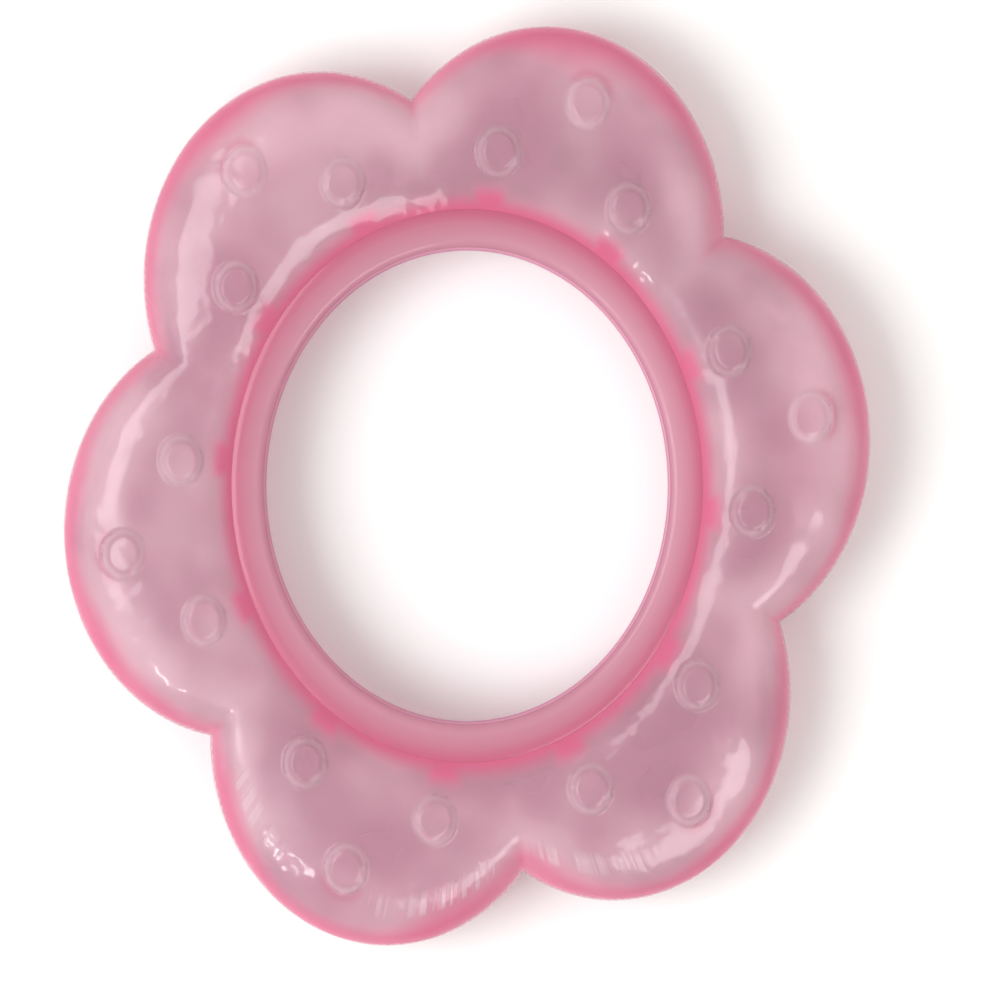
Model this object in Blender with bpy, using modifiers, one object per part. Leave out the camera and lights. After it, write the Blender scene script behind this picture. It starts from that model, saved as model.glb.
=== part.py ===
"""A water-filled teething ring in the shape of an oval six-petalled flower.

Two soft moulded shells meet on a flat parting plane. They trap a band that lines the
finger hole, and they hold the water. The band's keys sit in pockets of the shells. The
water goes in through a port in the back shell, which a small plug closes.

The flower is drawn round, and the empty "oval" narrows it along Y. So the plan's sizes
are those along X. The ring lies flat: +Z is the front, z = 0 is the plane of the back
buttons, and the oval is longest along X. Sizes are in metres.
"""

import math

import bmesh
import bpy
from mathutils import Matrix, Vector

# Outline
PETALS = 6
OVAL = 0.853  # width of the oval over its length
PETAL_TURN = math.radians(-20.35)  # from the oval's length to the first petal's axis
TIP_RADIUS = 0.0500  # ring centre to petal tip
PETAL_RADIUS = 0.0218  # round outline of one petal
HOLE_RADIUS = 0.0247  # finger hole, at the bead
BAND_WIDTH = 0.0043  # inner ring, from the bead to its outer wall

# Section
THICKNESS = 0.0130  # over the buttons of both faces
BUTTON_RISE = 0.0005  # buttons over the highest point of a petal
WALL = 0.0016  # shell wall
LAND = 0.0006  # straight stretch of the wall beside the parting plane
FULLNESS = 3.0  # power of the petals' section: 2 is an ellipse, more is fuller
SHOULDER = 0.0045  # rounding from the inner wall up to the petal
CREASE_LENGTH = 0.0050  # the crease between two petals fades out over this
VALLEY_BLEND = math.radians(8.0)  # half-width of the soft valley that follows it
GAP = 0.00035  # between neighbouring pieces

# Buttons
BUTTON_RADIUS = 0.0026
BUTTON_EDGE = 0.0005
BUTTON_ROOT = 0.0045  # height of a button's buried end over the parting plane
INNER_BUTTONS = (0.0352, math.radians(14.0))  # distance, and angle each side of the petal's axis
OUTER_BUTTON = 0.0428

# Section of the inner ring: heights are over the parting plane
BAND_WALL = 0.0034  # straight outer wall
BAND_SHOULDER = 0.0039
BAND_CROWN = 0.0042
BAND_ROUNDING = 0.0005
BAND_LIP = 0.0030  # inner edge of the crowned face
BAND_DRAFT = 0.0002  # lean of the inner wall
BEAD_RISE = 0.0006  # the bead stands this far into the hole
BEAD_ROOT = 0.0008
BEAD_FACE = 0.0004

# Keys of the inner ring, and the shells' pockets and lugs round them
KEYS = 12
KEY_WIDTH = 0.0026
KEY_END = 0.0303  # distance of a key's end from the centre
KEY_HALF_HEIGHT = 0.0015
LUG_WIDTH = 0.0042
LUG_END = 0.0316
LUG_HEIGHT = 0.0034

# Fill port and plug, round ones in the back of the first petal
PORT_DISTANCE = 0.0364
PORT_RADIUS = 0.0015
SEAT_RADIUS = 0.0023
SEAT_DEPTH = 0.0008
PLUG_HEAD = 0.0004
PLUG_RECESS = 0.00015
PLUG_LENGTH = 0.0014
PLUG_TIP = 0.0003

# Fineness
ANGLE_STEPS = 60
SECTION_STEPS = 8
ROUND_STEPS = 14

MIDDLE = THICKNESS / 2
CROWN = MIDDLE - BUTTON_RISE
PITCH = 2 * math.pi / PETALS
PETAL_OFFSET = TIP_RADIUS - PETAL_RADIUS
BAND_OUTER = HOLE_RADIUS + BAND_WIDTH
SHELL_INNER = BAND_OUTER + GAP
SMOOTH_ANGLE = math.radians(40)


# ---------- the petals' form ----------


def from_petal_axis(angle):
    """The angle to the nearest petal's axis: 0 on the axis, half a pitch in a valley."""
    return abs((angle + PITCH / 2) % PITCH - PITCH / 2)


def outline(angle, inset):
    """Distance from the centre to the flower's outline, drawn in by inset."""
    away = from_petal_axis(angle)
    side = PETAL_OFFSET * math.sin(away)
    return PETAL_OFFSET * math.cos(away) + math.sqrt((PETAL_RADIUS - inset) ** 2 - side**2)


def quarter(share):
    """A full quarter curve: 0 and upright at share 0, 1 and level at share 1."""
    left = 1 - min(max(share, 0.0), 1.0)
    return (1 - left**FULLNESS) ** (1 / FULLNESS)


def softened(away, depth):
    """The angle from the petal's axis, levelled off in the valley beyond the crease."""
    share = min(depth / CREASE_LENGTH, 1.0)
    blend = VALLEY_BLEND * share * share * (3 - 2 * share)
    half = PITCH / 2
    return half * (1 - math.hypot(half - away, blend) / math.hypot(half, blend))


def petal_height(distance, angle, inset):
    """Height of the petals' surface over the parting plane."""
    away = softened(from_petal_axis(angle), outline(angle, inset) - distance)
    from_centre = math.hypot(
        distance * math.cos(away) - PETAL_OFFSET,
        distance * math.sin(away),
    )
    dome = quarter(1 - from_centre / (PETAL_RADIUS - inset))
    shoulder = quarter((distance - SHELL_INNER - inset) / SHOULDER)
    return LAND + (CROWN - inset - LAND) * dome * shoulder


def section(angle, inset, foot):
    """(distance, height) points over one section, from the inner wall to the outline."""
    inner = SHELL_INNER + inset
    outer = outline(angle, inset)
    points = [(inner, foot)]
    for step in range(SECTION_STEPS + 1):
        share = (1 - math.cos(math.pi * step / SECTION_STEPS)) / 2
        distance = inner + (outer - inner) * share
        points.append((distance, petal_height(distance, angle, inset)))
    return points + [(outer, foot)]


# ---------- Blender helpers ----------


def clear_scene():
    for old in list(bpy.data.objects):
        bpy.data.objects.remove(old, do_unlink=True)


def collection(name, shown):
    made = bpy.data.collections.new(name)
    made.hide_render = not shown
    bpy.context.scene.collection.children.link(made)
    return made


def add_oval(group):
    """The empty that narrows the round flower."""
    made = bpy.data.objects.new("oval", None)
    made.scale = (1, OVAL, 1)
    group.objects.link(made)


def add_object(name, mesh, group, place=None):
    """An object whose mesh is measured from the parting plane.

    It is drawn round the flower's centre and narrowed with it, or stands true at place.
    """
    made = bpy.data.objects.new(name, mesh)
    made.location = place or Vector()
    made.location.z += MIDDLE
    if place is None:
        made.parent = bpy.data.objects["oval"]
        made.rotation_euler.z = PETAL_TURN
    group.objects.link(made)
    return made


def add_tool(name, mesh, group, place=None):
    """An object that only cuts or joins others."""
    tool = add_object(name, mesh, group, place)
    tool.hide_render = True
    tool.display_type = "WIRE"
    return tool


def mesh_from(name, shape):
    """The bmesh as a smooth-shaded mesh."""
    mesh = bpy.data.meshes.new(name)
    shape.to_mesh(mesh)
    shape.free()
    mesh.shade_smooth()
    mesh.set_sharp_from_angle(angle=SMOOTH_ANGLE)
    return mesh


def boolean(obj, tool, operation):
    step = obj.modifiers.new(f"{operation.lower()} {tool.name}", "BOOLEAN")
    step.operation = operation
    step.object = tool


def bevel(obj, width):
    step = obj.modifiers.new("edges", "BEVEL")
    step.width = width
    step.segments = 1
    step.limit_method = "ANGLE"


def polar(distance, angle, height=0.0):
    return Vector((distance * math.cos(angle), distance * math.sin(angle), height))


def material(name, colour, roughness, transmission):
    made = bpy.data.materials.new(name)
    made.use_nodes = True
    shader = made.node_tree.nodes["Principled BSDF"]
    shader.inputs["Base Color"].default_value = (*colour, 1.0)
    shader.inputs["Roughness"].default_value = roughness
    shader.inputs["Metallic"].default_value = 0.0
    shader.inputs["Transmission Weight"].default_value = transmission
    return made


# ---------- shapes ----------


def lofted_section(name, inset, foot, side):
    """The petals' open surface, one section after another round the ring. side is 1 or -1."""
    shape = bmesh.new()
    loops = []
    for step in range(ANGLE_STEPS):
        angle = 2 * math.pi * step / ANGLE_STEPS
        points = section(angle, inset, foot)
        loops.append([shape.verts.new(polar(d, angle, side * h)) for d, h in points])
    for here, after in zip(loops, loops[1:] + loops[:1]):
        for i in range(len(here) - 1):
            corners = (here[i], here[i + 1], after[i + 1], after[i])
            shape.faces.new(corners if side > 0 else corners[::-1])
    return mesh_from(name, shape)


def blocks(name, count, width, near, far, low, high):
    """Equal boxes round the ring, half a step off the first petal's axis."""
    shape = bmesh.new()
    size = Matrix.Diagonal((far - near, width, high - low, 1))
    place = Matrix.Translation(((near + far) / 2, 0, (low + high) / 2))
    for step in range(count):
        turn = Matrix.Rotation(2 * math.pi * (step + 0.5) / count, 4, "Z")
        bmesh.ops.create_cube(shape, size=1.0, matrix=turn @ place @ size)
    return mesh_from(name, shape)


def rounds(name, places, radius, low, high):
    """Upright round bars at the given places."""
    shape = bmesh.new()
    for place in places:
        bmesh.ops.create_cone(
            shape,
            cap_ends=True,
            segments=ROUND_STEPS,
            radius1=radius,
            radius2=radius,
            depth=high - low,
            matrix=Matrix.Translation(place + Vector((0, 0, (low + high) / 2))),
        )
    return mesh_from(name, shape)


def turned(name, profile, closed, group, steps, place=None):
    """A turned piece. The profile's points run down its outer side, from top to bottom."""
    shape = bmesh.new()
    points = [shape.verts.new((radius, 0, height)) for radius, height in profile]
    ends = points[1:] + points[:1] if closed else points[1:]
    for here, after in zip(points, ends):
        shape.edges.new((here, after))
    made = add_object(name, mesh_from(name, shape), group, place)
    screw = made.modifiers.new("turn", "SCREW")
    screw.steps = steps
    screw.render_steps = steps
    screw.use_merge_vertices = True
    screw.merge_threshold = 0.00001
    screw.use_smooth_shade = True
    return made


# ---------- the pieces ----------


def button_places():
    distance, spread = INNER_BUTTONS
    places = []
    for petal in range(PETALS):
        axis = petal * PITCH
        places.append(polar(OUTER_BUTTON, axis))
        places.append(polar(distance, axis - spread))
        places.append(polar(distance, axis + spread))
    return places


def shell(name, side, group, tools):
    """One moulded half: petals with buttons outside, lugs with pockets for the keys inside."""
    made = add_object(name, lofted_section(name, 0.0, GAP / 2, side), group)
    solid = made.modifiers.new("wall", "SOLIDIFY")
    solid.thickness = WALL
    solid.offset = -1.0
    solid.use_even_offset = True

    low, high = sorted((side * BUTTON_ROOT, side * MIDDLE))
    buttons = rounds(f"{name}_buttons", button_places(), BUTTON_RADIUS, low, high)
    buttons = add_tool(f"{name}_buttons", buttons, tools)
    bevel(buttons, BUTTON_EDGE)
    boolean(made, buttons, "UNION")

    low, high = sorted((side * LUG_HEIGHT, side * GAP))
    lugs = blocks(f"{name}_lugs", KEYS, LUG_WIDTH, KEY_END, LUG_END, low, high)
    lugs = add_tool(f"{name}_lugs", lugs, tools)
    boolean(made, lugs, "UNION")

    height = KEY_HALF_HEIGHT + GAP
    near, far = BAND_OUTER - GAP, KEY_END + GAP
    pockets = blocks(f"{name}_pockets", KEYS, KEY_WIDTH + 2 * GAP, near, far, -height, height)
    boolean(made, add_tool(f"{name}_pockets", pockets, tools), "DIFFERENCE")
    return made


def port_place():
    """The port's place on the narrowed flower."""
    place = polar(PORT_DISTANCE, PETAL_TURN)
    place.y *= OVAL
    return place


def plug_seat_height():
    """Height of the plug's seat under the parting plane, as a positive number."""
    return petal_height(PORT_DISTANCE, 0.0, 0.0) - SEAT_DEPTH


def cut_port(obj, tools):
    """A stepped hole from the back of the first petal into the water space."""
    bore = rounds("port_bore", [Vector()], PORT_RADIUS, -MIDDLE, -LUG_HEIGHT)
    boolean(obj, add_tool("port_bore", bore, tools, port_place()), "DIFFERENCE")
    seat = rounds("port_seat", [Vector()], SEAT_RADIUS, -MIDDLE, -plug_seat_height())
    boolean(obj, add_tool("port_seat", seat, tools, port_place()), "DIFFERENCE")


def band_profile():
    """The inner ring's section: a crowned band with a steep inner wall and a bead half-way."""
    wall = HOLE_RADIUS + BEAD_RISE
    upper = [
        (BAND_OUTER, BAND_WALL),
        (BAND_OUTER - BAND_ROUNDING, BAND_SHOULDER),
        (BAND_OUTER - BAND_WIDTH * 0.4, BAND_CROWN),
        (BAND_OUTER - BAND_WIDTH * 0.65, BAND_SHOULDER),
        (wall + BAND_DRAFT, BAND_LIP),
        (wall, BEAD_ROOT),
        (HOLE_RADIUS, BEAD_FACE),
    ]
    lower = [(distance, -height) for distance, height in upper]
    return lower + upper[::-1]


def inner_ring(group, tools):
    """The ring that lines the finger hole, with keys on its outer wall."""
    made = turned("inner_ring", band_profile(), True, group, ANGLE_STEPS)
    near = BAND_OUTER - BAND_WIDTH / 4
    keys = blocks("keys", KEYS, KEY_WIDTH, near, KEY_END, -KEY_HALF_HEIGHT, KEY_HALF_HEIGHT)
    boolean(made, add_tool("keys", keys, tools), "UNION")
    return made


def water_fill(group, tools):
    """The water: it fills both shells, notched round their lugs."""
    mesh = lofted_section("water_fill", WALL + GAP, 0.0, 1)
    made = add_object("water_fill", mesh, group)
    whole = made.modifiers.new("both halves", "MIRROR")
    whole.use_axis = (False, False, True)
    whole.merge_threshold = 0.00001
    height = LUG_HEIGHT + GAP
    far = LUG_END + GAP
    room = blocks("lug_room", KEYS, LUG_WIDTH + 2 * GAP, BAND_OUTER, far, -height, height)
    boolean(made, add_tool("lug_room", room, tools), "DIFFERENCE")
    return made


def fill_plug(group):
    """A headed plug that closes the port, turned about its own axis."""
    head = SEAT_RADIUS - GAP
    stem = PORT_RADIUS - GAP
    outside = -(plug_seat_height() + SEAT_DEPTH - PLUG_RECESS)
    profile = [
        (0.0, outside + PLUG_LENGTH),
        (stem - PLUG_TIP, outside + PLUG_LENGTH),
        (stem, outside + PLUG_LENGTH - PLUG_TIP),
        (stem, outside + PLUG_HEAD),
        (head, outside + PLUG_HEAD),
        (head, outside),
        (0.0, outside),
    ]
    return turned("fill_plug", profile, False, group, ROUND_STEPS, port_place())


def build():
    clear_scene()
    parts = collection("teething_ring", True)
    tools = collection("cutters", False)
    add_oval(parts)

    front = shell("front_shell", 1, parts, tools)
    back = shell("back_shell", -1, parts, tools)
    cut_port(back, tools)
    ring = inner_ring(parts, tools)
    water = water_fill(parts, tools)
    plug = fill_plug(parts)

    front.data.materials.append(material("front_shell", (0.80, 0.38, 0.50), 0.30, 0.6))
    back.data.materials.append(material("back_shell", (0.78, 0.36, 0.48), 0.30, 0.6))
    ring.data.materials.append(material("inner_ring", (0.76, 0.30, 0.44), 0.25, 0.5))
    water.data.materials.append(material("water_fill", (0.95, 0.88, 0.90), 0.05, 1.0))
    plug.data.materials.append(material("fill_plug", (0.82, 0.25, 0.42), 0.35, 0.3))


build()
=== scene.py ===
"""The looks of a water-filled flower teething ring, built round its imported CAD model.

The shells' outer skins, the band that lines the hole and the water are made again with fine
surfaces in the CAD nodes' places. The flower is drawn round, and on_oval narrows it along Y.
Sizes are in metres.
"""

import math

import bpy
import numpy as np
from mathutils import Matrix, Vector
from mathutils.geometry import delaunay_2d_cdt


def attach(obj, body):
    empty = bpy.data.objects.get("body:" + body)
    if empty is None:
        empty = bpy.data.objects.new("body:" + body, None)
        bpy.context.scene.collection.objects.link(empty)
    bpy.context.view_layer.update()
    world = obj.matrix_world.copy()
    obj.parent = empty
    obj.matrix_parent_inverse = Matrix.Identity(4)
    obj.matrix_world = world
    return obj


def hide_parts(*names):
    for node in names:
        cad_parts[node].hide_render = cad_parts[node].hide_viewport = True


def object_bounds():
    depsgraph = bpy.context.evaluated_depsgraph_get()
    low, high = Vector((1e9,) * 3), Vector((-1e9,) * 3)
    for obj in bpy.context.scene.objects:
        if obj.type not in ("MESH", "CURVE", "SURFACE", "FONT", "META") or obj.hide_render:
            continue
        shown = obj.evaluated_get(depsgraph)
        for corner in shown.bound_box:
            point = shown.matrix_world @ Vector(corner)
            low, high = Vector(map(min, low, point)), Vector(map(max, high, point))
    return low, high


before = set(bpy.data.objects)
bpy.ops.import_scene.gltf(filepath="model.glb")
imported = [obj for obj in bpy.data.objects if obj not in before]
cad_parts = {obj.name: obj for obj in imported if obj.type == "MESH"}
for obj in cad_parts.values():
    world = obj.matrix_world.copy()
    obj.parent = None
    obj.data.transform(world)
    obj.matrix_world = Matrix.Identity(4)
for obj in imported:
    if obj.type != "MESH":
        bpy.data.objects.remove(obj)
CAD_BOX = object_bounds()
MIDDLE = (CAD_BOX[0][2] + CAD_BOX[1][2]) / 2
TOP = CAD_BOX[1][2] - MIDDLE

# The oval flower, as the CAD model shapes it
BODY = "root"
PETALS = 6
PITCH = 2 * math.pi / PETALS
OVAL = 0.853
PETAL_TURN = math.radians(-20.35)
PETAL_RADIUS = 0.0218
PETAL_OFFSET = 0.0282
HOLE_RADIUS = 0.0247
BAND_WIDTH = 0.0043
BAND_OUTER = HOLE_RADIUS + BAND_WIDTH
BAND_CROWN = 0.0040
BAND_EDGE = 0.0038
BAND_OUTER_ROUND = 0.0014
BAND_INNER_ROUND = 0.0013
BAND_STEPS = 14
HOLE_LIP = HOLE_RADIUS + BAND_INNER_ROUND
STEEP = 0.6  # a face whose normal rises less belongs to the hole's side
SHELL_INNER = BAND_OUTER
WALL = 0.0016
LAND = 0.0006
SEAM_HEIGHT = 0.00025
SEAM_DEPTH = 0.0003
WELD_HEIGHT = 0.0038
CROWN = TOP - 0.0005
FIT_MARGIN = 0.9999
FULLNESS = 2.6  # power of the petal's section: 2 is a circle, more is fuller
SHOULDER = 0.0080
SHOULDER_ROUND = 2.4
CREASE_LENGTH = 0.0050
VALLEY_BLEND = math.radians(8.0)

# Buttons
OUTER_BUTTON = 0.0428
INNER_BUTTON = 0.0352
BUTTON_SPREAD = math.radians(14.0)
BUTTON_RISE = 0.0008
BUTTON_FLAT = 0.0016
BUTTON_FOOT = 0.0030
BUTTON_RINGS = 14
BUTTON_STEPS = 44
BUTTON_SIDE = (BUTTON_FLAT * 0.94, BUTTON_FOOT * 1.06)  # where the rings of points start and end
BUTTON_MIDDLE = ((0.0, 1), (BUTTON_FLAT * 0.35, 12), (BUTTON_FLAT * 0.7, 24))  # (radius, points)
BUTTON_CLEARANCE = 0.00015
# The buttons' light rings are a painted highlight.
PALE_RING = 0.0024
PALE_RING_FADE = 0.0006
# The outer buttons' pink crescents are a painted refraction of the pink rim.
PINK_CRESCENT = 0.0030
PINK_CRESCENT_FADE = 0.0008

# Keys
KEYS = 12
KEY_PITCH = 2 * math.pi / KEYS
KEY_WIDTH = 0.0041
KEY_END = 0.0313
KEY_SOFTNESS = 0.0021
KEY_START_FADE = 0.0006
WELD_GLOW = 0.0025

# Port
PORT_DISTANCE = 0.0364
SEAT_RADIUS = 0.0023
SEAT_DEPTH = 0.0008
SEAT_EDGE = 0.0002
SEAT_STEPS = 48
SEAT_RINGS = (-1.0, 0.0, 0.25, 0.5, 0.75, 1.0, 1.8)  # in edge widths from the seat's radius

# Fineness of the surfaces
ANGLE_STEPS = 360
SECTION_STEPS = 44
WATER_ANGLE_STEPS = 180
WATER_SECTION_STEPS = 24


# ---------- form of the petals ----------


def from_petal_axis(angle):
    """The angle to the nearest petal's axis."""
    return np.abs((angle + PITCH / 2) % PITCH - PITCH / 2)


def outline(angle, inset=0.0):
    """The flower's edge: distance from the centre in each direction."""
    away = from_petal_axis(angle)
    side = PETAL_OFFSET * np.sin(away)
    return PETAL_OFFSET * np.cos(away) + np.sqrt((PETAL_RADIUS - inset) ** 2 - side**2)


def quarter(share):
    """A dome's height, from 0 at the rim (share 0) to 1 at the crown (share 1)."""
    left = 1 - np.clip(share, 0.0, 1.0)
    return (1 - left**FULLNESS) ** (1 / FULLNESS)


def smooth(share):
    share = np.clip(share, 0.0, 1.0)
    return share * share * (3 - 2 * share)


def softened(away, depth):
    """The angle from the petal's axis, levelled off in the valley beyond the crease."""
    blend = VALLEY_BLEND * smooth(depth / CREASE_LENGTH)
    half = PITCH / 2
    return half * (1 - np.hypot(half - away, blend) / np.hypot(half, blend))


def petal_height(distance, angle, inset=0.0):
    """Height over the parting plane, which rises from the weld and falls to the rim."""
    away = softened(from_petal_axis(angle), outline(angle, inset) - distance)
    from_centre = np.hypot(distance * np.cos(away) - PETAL_OFFSET, distance * np.sin(away))
    dome = quarter(1 - from_centre / (PETAL_RADIUS - inset))
    along = distance - SHELL_INNER - inset
    shoulder = 1 - (1 - np.clip(along / SHOULDER, 0.0, 1.0)) ** SHOULDER_ROUND
    weld = WELD_HEIGHT - inset
    return weld + (LAND + (CROWN - inset - LAND) * dome - weld) * shoulder


def button_centres():
    centres = []
    for petal in range(PETALS):
        axis = petal * PITCH
        for distance, angle in (
            (OUTER_BUTTON, axis),
            (INNER_BUTTON, axis - BUTTON_SPREAD),
            (INNER_BUTTON, axis + BUTTON_SPREAD),
        ):
            centres.append((distance * math.cos(angle), distance * math.sin(angle)))
    return centres


def buttoned_height(x, y):
    """Height of the outer surface over the parting plane, buttons included."""
    height = petal_height(np.hypot(x, y), np.arctan2(y, x))
    for cx, cy in button_centres():
        share = (BUTTON_FOOT - np.hypot(x - cx, y - cy)) / (BUTTON_FOOT - BUTTON_FLAT)
        height = height + BUTTON_RISE * smooth(share)
    return np.minimum(height, TOP)


def weld_glow(distance, angle):
    """1 where a key or the weld beside the band shows through, 0 elsewhere."""
    aside = np.abs(angle % KEY_PITCH - KEY_PITCH / 2) * distance
    key = smooth(0.5 + (KEY_WIDTH / 2 - aside) / KEY_SOFTNESS)
    key = key * smooth(0.5 + (KEY_END - distance) / KEY_SOFTNESS)
    key = key * smooth(1 + (distance - SHELL_INNER) / KEY_START_FADE)
    weld = 1 - smooth(np.abs(distance - SHELL_INNER) / WELD_GLOW)
    return np.maximum(key, weld)


def button_painted_light(x, y):
    """(pale, pink): a painted highlight, as a light ring on each button's side, and a painted
    refraction of the pink rim, as a crescent on the side of an outer button that faces the rim."""
    pale, pink = np.zeros(len(x)), np.zeros(len(x))
    for index, (cx, cy) in enumerate(button_centres()):
        away = np.hypot(x - cx, y - cy)
        pale = np.maximum(pale, 1 - smooth(np.abs(away - PALE_RING) / PALE_RING_FADE))
        if index % 3 == 0:
            outwards = ((x - cx) * cx + (y - cy) * cy) / np.maximum(away, 1e-6) / math.hypot(cx, cy)
            crescent = 1 - smooth(np.abs(away - PINK_CRESCENT) / PINK_CRESCENT_FADE)
            pink = np.maximum(pink, crescent * smooth(outwards * 1.4 - 0.2))
    return pale, pink


def port_seat(x, y):
    """How far the seat of the plug sinks into the back."""
    plan = on_oval(np.column_stack([x, y, 0 * x]))
    centre = on_oval(np.array([(PORT_DISTANCE, 0.0, 0.0)]))
    away = np.hypot(plan[:, 0] - centre[0, 0], plan[:, 1] - centre[0, 1])
    return SEAT_DEPTH * smooth((SEAT_RADIUS + SEAT_EDGE - away) / SEAT_EDGE)


# ---------- meshes ----------


def mesh_of(name, points, faces, *materials):
    """A piece drawn on the round plan, which on_oval then narrows, with its colour masks."""
    points = np.array(points)
    x, y = points[:, 0], points[:, 1]
    angle = np.arctan2(y, x)
    distance = np.hypot(x, y)
    mesh = bpy.data.meshes.new(name)
    mesh.from_pydata(on_oval(points).tolist(), [], [tuple(f) for f in faces])
    pale, pink = button_painted_light(x, y)
    for label, values in (
        ("rim_depth", outline(angle) - distance),
        ("weld_glow", weld_glow(distance, angle)),
        ("button_painted_highlight_ring", pale),
        ("button_painted_refraction", pink),
    ):
        layer = mesh.attributes.new(label, "FLOAT", "POINT")
        layer.data.foreach_set("value", values.astype(np.float32))
    mesh.shade_smooth()
    for material in materials:
        mesh.materials.append(material)
    piece = bpy.data.objects.new(name, mesh)
    piece.location = (0, 0, MIDDLE)
    bpy.context.scene.collection.objects.link(piece)
    return piece


def on_oval(points):
    """The points turned to the photograph's petals, narrowed along Y and brought to the CAD's size."""
    c, s = math.cos(PETAL_TURN), math.sin(PETAL_TURN)
    x, y, z = points[:, 0], points[:, 1], points[:, 2]
    return np.column_stack([FIT * (x * c - y * s), FIT * OVAL * (x * s + y * c), z])


def fit_to_cad():
    """The share of its drawn size that keeps the flower inside the CAD box."""
    angles = np.linspace(0, 2 * np.pi, 7200)
    edge = outline(angles)
    long = (edge * np.cos(angles + PETAL_TURN)).max()
    wide = (edge * np.sin(angles + PETAL_TURN)).max() * OVAL
    return min(CAD_BOX[1][0] / long, CAD_BOX[1][1] / wide) * FIT_MARGIN


FIT = fit_to_cad()


def place(piece, node):
    """The piece rides the ring's body and takes the CAD node's place."""
    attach(piece, BODY)
    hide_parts(node)


def section_shares(steps):
    """Shares from 0 to 1 that lie closer together at both ends."""
    return (1 - np.cos(np.pi * np.arange(steps + 1) / steps)) / 2


def turns(steps):
    return 2 * np.pi * np.arange(steps) / steps


def plan_points():
    """The plan of the outer surface: a polar grid, with rings of points in each button and in
    the seat of the plug."""
    angles = turns(ANGLE_STEPS)
    edge = outline(angles)
    rows = [SHELL_INNER + (edge - SHELL_INNER) * share for share in section_shares(SECTION_STEPS)]
    x = np.array([row * np.cos(angles) for row in rows])
    y = np.array([row * np.sin(angles) for row in rows])
    keep = np.ones(x.shape, bool)
    rings = []
    top, foot = BUTTON_SIDE
    slope = top + (foot - top) * np.arange(BUTTON_RINGS) / (BUTTON_RINGS - 1)
    for cx, cy in button_centres():
        keep &= np.hypot(x - cx, y - cy) > slope[-1] + BUTTON_CLEARANCE
        for ring, count in [*BUTTON_MIDDLE, *((r, BUTTON_STEPS) for r in slope)]:
            for step in range(count):
                turn = 2 * math.pi * step / count
                rings.append((cx + ring * math.cos(turn), cy + ring * math.sin(turn)))
    c, s = math.cos(PETAL_TURN), math.sin(PETAL_TURN)
    for ring in SEAT_RADIUS + SEAT_EDGE * np.array(SEAT_RINGS):
        for step in range(SEAT_STEPS):
            turn = 2 * math.pi * step / SEAT_STEPS
            along, across = ring * math.cos(turn), ring * math.sin(turn) / OVAL
            rings.append((PORT_DISTANCE + along * c + across * s, across * c - along * s))
    keep &= np.hypot(x - PORT_DISTANCE, y) > (SEAT_RADIUS + 3 * SEAT_EDGE) / OVAL
    keep[0] = keep[-1] = True
    return x, y, keep, rings


def outer_skin():
    """(points, faces, outer loop) of the flower's face with its buttons."""
    x, y, keep, rings = plan_points()
    inner = [(x[0, i], y[0, i]) for i in range(ANGLE_STEPS)]
    outer = [(x[-1, i], y[-1, i]) for i in range(ANGLE_STEPS)]
    between = [(row, i) for row in range(1, SECTION_STEPS) for i in range(ANGLE_STEPS)]
    middle = [(x[row, i], y[row, i]) for row, i in between if keep[row, i]]
    plan = [Vector(p) for p in inner + outer + middle + rings]
    edges = []
    for start in (0, ANGLE_STEPS):
        edges += [(start + i, start + (i + 1) % ANGLE_STEPS) for i in range(ANGLE_STEPS)]
    made = delaunay_2d_cdt(plan, edges, [], 0, 1e-7)
    flat, faces, origin = np.array([tuple(p) for p in made[0]]), made[2], made[3]
    back = {old: new for new, olds in enumerate(origin) for old in olds}
    middles = flat[np.array(faces)].mean(axis=1)
    radius, angle = np.hypot(*middles.T), np.arctan2(middles[:, 1], middles[:, 0])
    inside = (radius > SHELL_INNER * math.cos(math.pi / ANGLE_STEPS) - 1e-6) & (radius < outline(angle))
    faces = [list(f) for f, good in zip(faces, inside) if good]
    points = np.column_stack([flat, buttoned_height(flat[:, 0], flat[:, 1])]).tolist()
    return points, faces, [back[ANGLE_STEPS + i] for i in range(ANGLE_STEPS)]


def bridge(faces, here, after):
    """Quads between two closed loops of points."""
    for i in range(len(here)):
        j = (i + 1) % len(here)
        faces.append([here[i], after[i], after[j], here[j]])


def ring_points(points, radii, angles, heights):
    """Adds a loop of points and gives their indices."""
    start = len(points)
    radii, heights = np.broadcast_to(radii, angles.shape), np.broadcast_to(heights, angles.shape)
    points += np.column_stack([radii * np.cos(angles), radii * np.sin(angles), heights]).tolist()
    return list(range(start, start + len(angles)))


def shell(name, side, material):
    """One half: the buttoned skin, and its edge with the groove of the parting line."""
    points, faces, outer = list(SKIN[0]), list(SKIN[1]), SKIN[2]
    angles = turns(ANGLE_STEPS)
    rim = ring_points(points, outline(angles), angles, SEAM_HEIGHT)
    foot = ring_points(points, outline(angles) - SEAM_DEPTH, angles, 0.0)
    bridge(faces, outer, rim)
    bridge(faces, rim, foot)
    points = np.array(points)
    if side < 0:
        points[:, 2] = port_seat(points[:, 0], points[:, 1]) - points[:, 2]
        faces = [f[::-1] for f in faces]
    return mesh_of(name, points, faces, material)


def water(material):
    """The water, one closed body inside both shells."""
    points, faces, loops = [], [], []
    angles = turns(WATER_ANGLE_STEPS)
    inner = SHELL_INNER + WALL
    outer = outline(angles, WALL)
    shares = section_shares(WATER_SECTION_STEPS)
    for side in (1, -1):
        for share in shares[::side]:
            radii = inner + (outer - inner) * share
            loops.append(ring_points(points, radii, angles, side * petal_height(radii, angles, WALL)))
    for here, after in zip(loops, loops[1:] + loops[:1]):
        bridge(faces, here, after)
    return mesh_of("water", points, faces, material)


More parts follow.
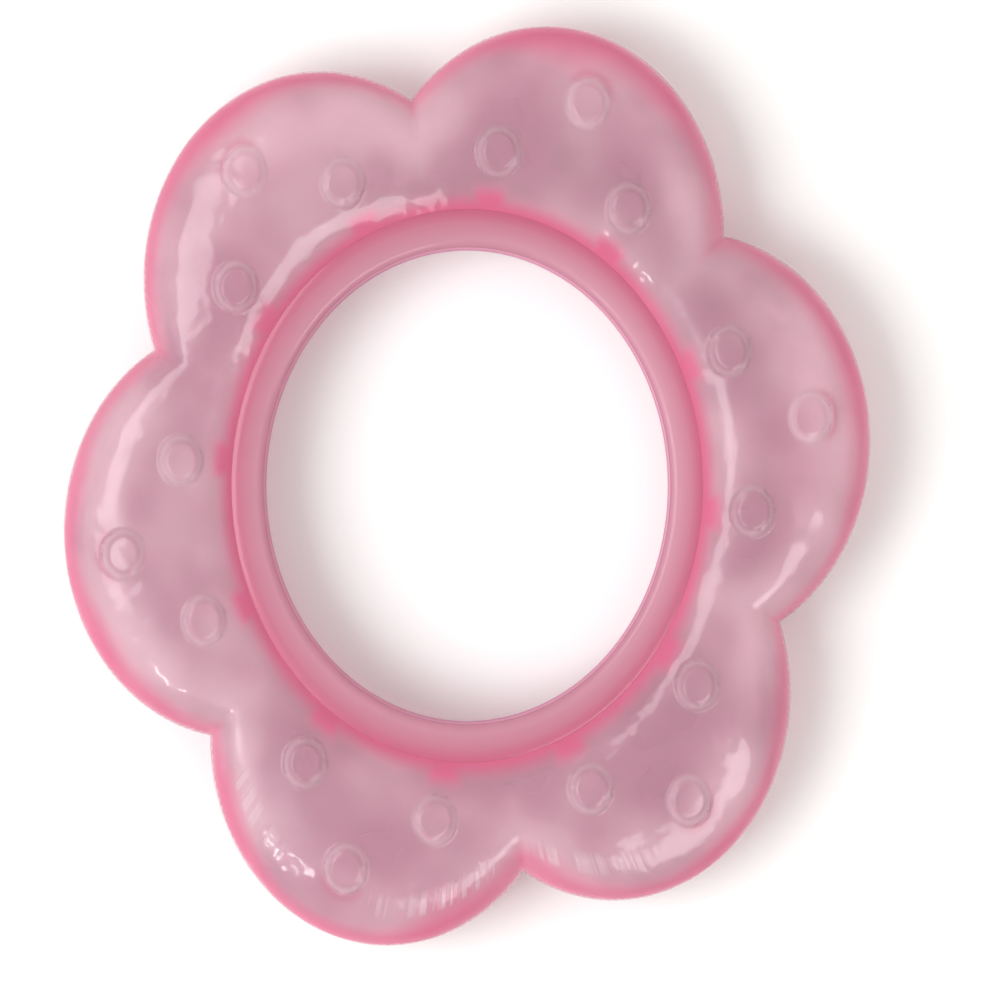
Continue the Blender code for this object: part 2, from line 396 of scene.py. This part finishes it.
def band_profile():
    """The band's closed section, as (radius, height) points: from the foot of its outer side
    under the band, up the hole's side and over the top. The outer side closes it."""
    upper = []
    for step in range(BAND_STEPS + 1):
        share = step / BAND_STEPS
        fall = (BAND_CROWN - BAND_EDGE) * (1 - share) ** 2
        upper.append((BAND_OUTER - BAND_OUTER_ROUND * share, BAND_CROWN - fall))
    for step in range(BAND_STEPS + 1):
        turn = math.pi / 2 * step / BAND_STEPS
        across, down = 1 - math.sin(turn), 1 - math.cos(turn)
        upper.append((HOLE_RADIUS + BAND_INNER_ROUND * across, BAND_CROWN - BAND_INNER_ROUND * down))
    upper.append((HOLE_RADIUS, 0.0))
    lower = [(radius, -height) for radius, height in upper[:-1]]
    return lower + upper[::-1]


def hole_band(*materials):
    """The band round the hole. Materials: its faces, the outer side that the weld hides, and
    the hole's side."""
    points, faces, loops = [], [], []
    angles = turns(ANGLE_STEPS)
    for radius, height in band_profile():
        loops.append(ring_points(points, radius, angles, height))
    for here, after in zip(loops, loops[1:] + loops[:1]):
        bridge(faces, here, after)
    made = mesh_of("hole_band", points, faces, *materials)
    for face in made.data.polygons:
        if face.index >= len(faces) - ANGLE_STEPS:
            face.material_index = 1
        elif face.center.xy.length < HOLE_LIP and abs(face.normal.z) < STEEP:
            face.material_index = 2
    return made


# ---------- materials ----------


def principled(name, **sockets):
    """(material, shader): each keyword sets the socket of that name."""
    made = bpy.data.materials.new(name)
    made.use_nodes = True
    shader = made.node_tree.nodes["Principled BSDF"]
    for label, value in sockets.items():
        shader.inputs[label.replace("_", " ")].default_value = value
    return made, shader


def attribute(tree, name):
    node = tree.nodes.new("ShaderNodeAttribute")
    node.attribute_name = name
    return node.outputs["Fac"]


def noise(tree, vector, scale, detail):
    node = tree.nodes.new("ShaderNodeTexNoise")
    node.inputs["Scale"].default_value = scale
    node.inputs["Detail"].default_value = detail
    tree.links.new(vector, node.inputs["Vector"])
    return node.outputs["Fac"]


def share_of(tree, value, low, high):
    """0 to 1 as the value goes from low to high, easing at both ends."""
    node = tree.nodes.new("ShaderNodeMapRange")
    node.interpolation_type = "SMOOTHSTEP"
    node.inputs["From Min"].default_value = low
    node.inputs["From Max"].default_value = high
    tree.links.new(value, node.inputs["Value"])
    return node.outputs["Result"]


def calculate(tree, operation, *values):
    node = tree.nodes.new("ShaderNodeMath")
    node.operation = operation
    for socket, value in zip(node.inputs, values):
        if isinstance(value, bpy.types.NodeSocket):
            tree.links.new(value, socket)
        else:
            socket.default_value = value
    return node.outputs["Value"]


def mix(tree, share, first, second):
    """Two colours mixed. Each input is a socket or a value."""
    node = tree.nodes.new("ShaderNodeMix")
    node.data_type = "RGBA"
    for socket, value in ((node.inputs["Factor"], share), (node.inputs[6], first), (node.inputs[7], second)):
        if isinstance(value, bpy.types.NodeSocket):
            tree.links.new(value, socket)
        else:
            socket.default_value = value
    return node.outputs[2]


def bump(tree, height, distance, under=None):
    node = tree.nodes.new("ShaderNodeBump")
    node.inputs["Distance"].default_value = distance
    tree.links.new(height, node.inputs["Height"])
    if under:
        tree.links.new(under, node.inputs["Normal"])
    return node.outputs["Normal"]


def vector_math(tree, operation, vector, second=(0, 0, 0)):
    node = tree.nodes.new("ShaderNodeVectorMath")
    node.operation = operation
    node.inputs[1].default_value = second
    tree.links.new(vector, node.inputs[0])
    return node.outputs["Value" if operation == "DOT_PRODUCT" else "Vector"]


def round_the_ring(tree, position, scale):
    """Noise that only changes with the direction from the ring's centre."""
    flat = vector_math(tree, "MULTIPLY", position, (1, 1, 0))
    return noise(tree, vector_math(tree, "NORMALIZE", flat), scale, 1.0)


RIM_PINK = (0.81, 0.16, 0.31, 1)
PALE_PINK = (0.94, 0.64, 0.73, 1)
DUSKY_PINK = (0.66, 0.36, 0.46, 1)
# Painted highlight colour, for the buttons' rings and the mould strokes
PAINTED_HIGHLIGHT_PINK = (0.98, 0.80, 0.85, 1)
BAND_BASE = (0.80, 0.41, 0.52, 1)
# The middle of a petal is painted darker between these depths: painted shade
SHADED_CORE_DEPTHS = (0.0045, 0.0110)
CORE_SHADE = -0.14
CLOUD_SCALE = 70.0
CLOUD_SHIFT = (1.43, -0.77, 0.0)
CLOUD_RANGE = (0.24, 0.64)
WANDER_SCALE = 60.0
LOW_SIDE = (-0.95, -0.3, 0)
STROKE_PATCHES = 55.0
STROKE_RIBS = 60.0
THIN_TRANSMISSION = 0.66
SOLID_TRANSMISSION = 0.41
WAVE_SCALE, WAVE_DEPTH = 130.0, 0.0005
RIPPLE_SCALE, RIPPLE_DEPTH = 420.0, 0.00016
DIMPLE_SCALE, DIMPLE_DEPTH = 1100.0, 0.0004
STROKE_DEPTH = 0.00015


def mould_strokes_and_painted_highlights(tree, position, depth):
    """1 on short mould strokes, side by side near the rim, in patches on the ring's low side.
    They are bumps, and the base colour paints them lighter as painted highlights.
    """
    patches = share_of(tree, noise(tree, position, STROKE_PATCHES, 0.0), 0.50, 0.60)
    past_rim = share_of(tree, depth, 0.0026, 0.0034)
    near_rim = calculate(tree, "MULTIPLY", past_rim, share_of(tree, depth, 0.0058, 0.0046))
    low_side = share_of(tree, vector_math(tree, "DOT_PRODUCT", position, LOW_SIDE), 0.012, 0.020)
    where = calculate(tree, "MULTIPLY", patches, near_rim)
    where = calculate(tree, "MULTIPLY", where, low_side)
    ribs = share_of(tree, round_the_ring(tree, position, STROKE_RIBS), 0.48, 0.60)
    return calculate(tree, "MULTIPLY", ribs, where)


def eva_pink():
    """Translucent EVA: deep pink where it is solid at the rim and the weld, paler over water.
    Painted shade darkens the middle of each petal; painted highlights lighten the buttons'
    rings and the mould strokes, and a painted refraction of the rim tints the outer buttons.
    """
    made, shader = principled(
        "eva_pink",
        Roughness=0.20,
        IOR=1.33,
        Specular_IOR_Level=0.2,
        Coat_Weight=1.0,
        Coat_Roughness=0.10,
        Coat_IOR=1.45,
    )
    tree = made.node_tree
    position = tree.nodes.new("ShaderNodeTexCoord").outputs["Object"]
    depth = attribute(tree, "rim_depth")
    # The rim's width wanders, so the depth is scaled by a slow noise
    wander = calculate(tree, "MULTIPLY_ADD", noise(tree, position, WANDER_SCALE, 1.0), -2.4, 2.2)
    solid = share_of(tree, calculate(tree, "MULTIPLY", depth, wander), 0.0034, 0.0002)
    deep = calculate(tree, "MAXIMUM", solid, attribute(tree, "weld_glow"))
    # Painted shade: darker in the middle of a petal, with soft clouds
    core = calculate(tree, "MULTIPLY", share_of(tree, depth, *SHADED_CORE_DEPTHS), CORE_SHADE)
    clouds = noise(tree, vector_math(tree, "ADD", position, CLOUD_SHIFT), CLOUD_SCALE, 2.0)
    cloud = share_of(tree, calculate(tree, "ADD", clouds, core), *CLOUD_RANGE)
    strokes = mould_strokes_and_painted_highlights(tree, position, depth)
    colour = mix(tree, cloud, DUSKY_PINK, PALE_PINK)
    # Painted highlights on the buttons' rings and the strokes, and painted refraction of the rim on the
    # outer buttons
    for mask, weight, tint in (
        (attribute(tree, "button_painted_highlight_ring"), 0.45, PAINTED_HIGHLIGHT_PINK),
        (attribute(tree, "button_painted_refraction"), 0.35, RIM_PINK),
        (deep, 1.0, RIM_PINK),
        (strokes, 0.5, PAINTED_HIGHLIGHT_PINK),
    ):
        colour = mix(tree, calculate(tree, "MULTIPLY", mask, weight), colour, tint)
    tree.links.new(colour, shader.inputs["Base Color"])
    loss = SOLID_TRANSMISSION - THIN_TRANSMISSION
    clear = calculate(tree, "MULTIPLY_ADD", deep, loss, THIN_TRANSMISSION)
    tree.links.new(clear, shader.inputs["Transmission Weight"])

    # The body has slow waves. The gloss also has ripples, the strokes, and dimples on the buttons
    waves = bump(tree, noise(tree, position, WAVE_SCALE, 0.5), WAVE_DEPTH)
    gloss = bump(tree, noise(tree, position, RIPPLE_SCALE, 1.0), RIPPLE_DEPTH, under=waves)
    gloss = bump(tree, strokes, STROKE_DEPTH, under=gloss)
    speckle = noise(tree, position, DIMPLE_SCALE, 0.0)
    dimples = calculate(tree, "MULTIPLY", speckle, attribute(tree, "button_painted_highlight_ring"))
    gloss = bump(tree, dimples, DIMPLE_DEPTH, under=gloss)
    tree.links.new(waves, shader.inputs["Normal"])
    tree.links.new(gloss, shader.inputs["Coat Normal"])
    return made


def band_pink():
    """The band's clear pink, deeper along the weld."""
    made, shader = principled(
        "band_pink",
        Roughness=0.25,
        IOR=1.33,
        Specular_IOR_Level=0.2,
        Transmission_Weight=0.6,
        Coat_Weight=0.6,
        Coat_Roughness=0.10,
        Coat_IOR=1.45,
    )
    tree = made.node_tree
    edge = calculate(tree, "MULTIPLY", attribute(tree, "weld_glow"), 0.8)
    tree.links.new(mix(tree, edge, BAND_BASE, RIM_PINK), shader.inputs["Base Color"])
    return made


def plain(name, colour, **sockets):
    return principled(name, Base_Color=(*colour, 1), **sockets)[0]


# ---------- build ----------

SKIN = outer_skin()

EVA_PINK = eva_pink()
place(shell("front_petals", 1, EVA_PINK), "front_shell")
place(shell("back_petals", -1, EVA_PINK), "back_shell")

BAND_PINK = band_pink()
WELD_PINK = plain(
    "weld_pink", (0.95, 0.62, 0.72), Roughness=0.0, IOR=1.0, Specular_IOR_Level=0.0, Transmission_Weight=1.0
)
# The hole's side is painted darker than the band, as painted shade, and has no gloss
HOLE_SHADE_PINK = plain("hole_painted_shade", (0.62, 0.30, 0.41), Roughness=0.6, IOR=1.33, Specular_IOR_Level=0.0)
place(hole_band(BAND_PINK, WELD_PINK, HOLE_SHADE_PINK), "inner_ring")

WATER = plain("water", (0.90, 0.76, 0.82), Roughness=0.15, IOR=1.6, Alpha=0.2)
place(water(WATER), "water_fill")

plug = bpy.data.objects["fill_plug"]
plug.data.materials.clear()
plug.data.materials.append(BAND_PINK)

# ---------- floor, light and camera ----------

FLOOR_HEIGHT = -0.0003
bpy.ops.mesh.primitive_plane_add(size=4, location=(0, 0, FLOOR_HEIGHT))
floor = bpy.context.object
floor.name = "floor"
floor.data.materials.append(plain("floor", (0.955, 0.97, 0.95), Roughness=0.8))

world = bpy.data.worlds.new("world")
bpy.context.scene.world = world
world.use_nodes = True
world.node_tree.nodes["Background"].inputs["Color"].default_value = (1.0, 0.985, 0.968, 1)
world.node_tree.nodes["Background"].inputs["Strength"].default_value = 0.82

bpy.context.scene.view_settings.view_transform = "Standard"

RIGHT = Vector((0, -1, 0))
UP = Vector((1, 0, 0))
ABOVE = Vector((0, 0, 1))


def area_light(name, along_right, along_up, height, size, power, colour=(1, 1, 1)):
    """A rectangular light that faces the ring."""
    light = bpy.data.lights.new(name, "AREA")
    light.shape = "RECTANGLE"
    light.size, light.size_y = size
    light.energy = power
    light.color = colour
    lamp = bpy.data.objects.new(name, light)
    lamp.location = RIGHT * along_right + UP * along_up + ABOVE * height
    lamp.rotation_mode = "QUATERNION"
    outwards = lamp.location.normalized()
    level = ABOVE.cross(outwards).normalized()
    lamp.rotation_quaternion = Matrix((level, outwards.cross(level), outwards)).transposed().to_quaternion()
    bpy.context.scene.collection.objects.link(lamp)
    return lamp


# One light makes the shading and the shadow, and the others only the highlights
key_light = area_light("left_softbox", -0.66, -0.22, 0.85, (0.75, 0.75), 8.4, (0.97, 1.0, 1.02))
key_light.visible_glossy = False
for gloss in (
    area_light("left_strip", -0.50, 0.12, 0.85, (0.6, 0.28), 1.7),
    area_light("low_strip", 0.35, -0.47, 0.75, (0.6, 0.30), 2.2),
    area_light("glint", -0.45, -0.45, 0.85, (0.08, 0.08), 0.3),
):
    gloss.visible_diffuse = False

# The camera looks straight down, from far enough to hide the hole's side
DISTANCE = 3.0
PICTURE_WIDTH = 0.1046
SENSOR_WIDTH = 36
AIM_RIGHT = 0.00345
AIM_UP = -0.00148
camera_data = bpy.data.cameras.new("camera")
camera = bpy.data.objects.new("camera", camera_data)
bpy.context.scene.collection.objects.link(camera)
aim = Vector((0, 0, MIDDLE)) + RIGHT * AIM_RIGHT + UP * AIM_UP
camera.matrix_world = Matrix((
    (RIGHT.x, UP.x, 0, 0),
    (RIGHT.y, UP.y, 0, 0),
    (RIGHT.z, UP.z, 1, 0),
    (0, 0, 0, 1),
))
camera.location = aim + ABOVE * DISTANCE
camera_data.sensor_width = SENSOR_WIDTH
camera_data.lens = SENSOR_WIDTH * DISTANCE / PICTURE_WIDTH
camera_data.clip_start, camera_data.clip_end = 0.1, 10
bpy.context.scene.camera = camera
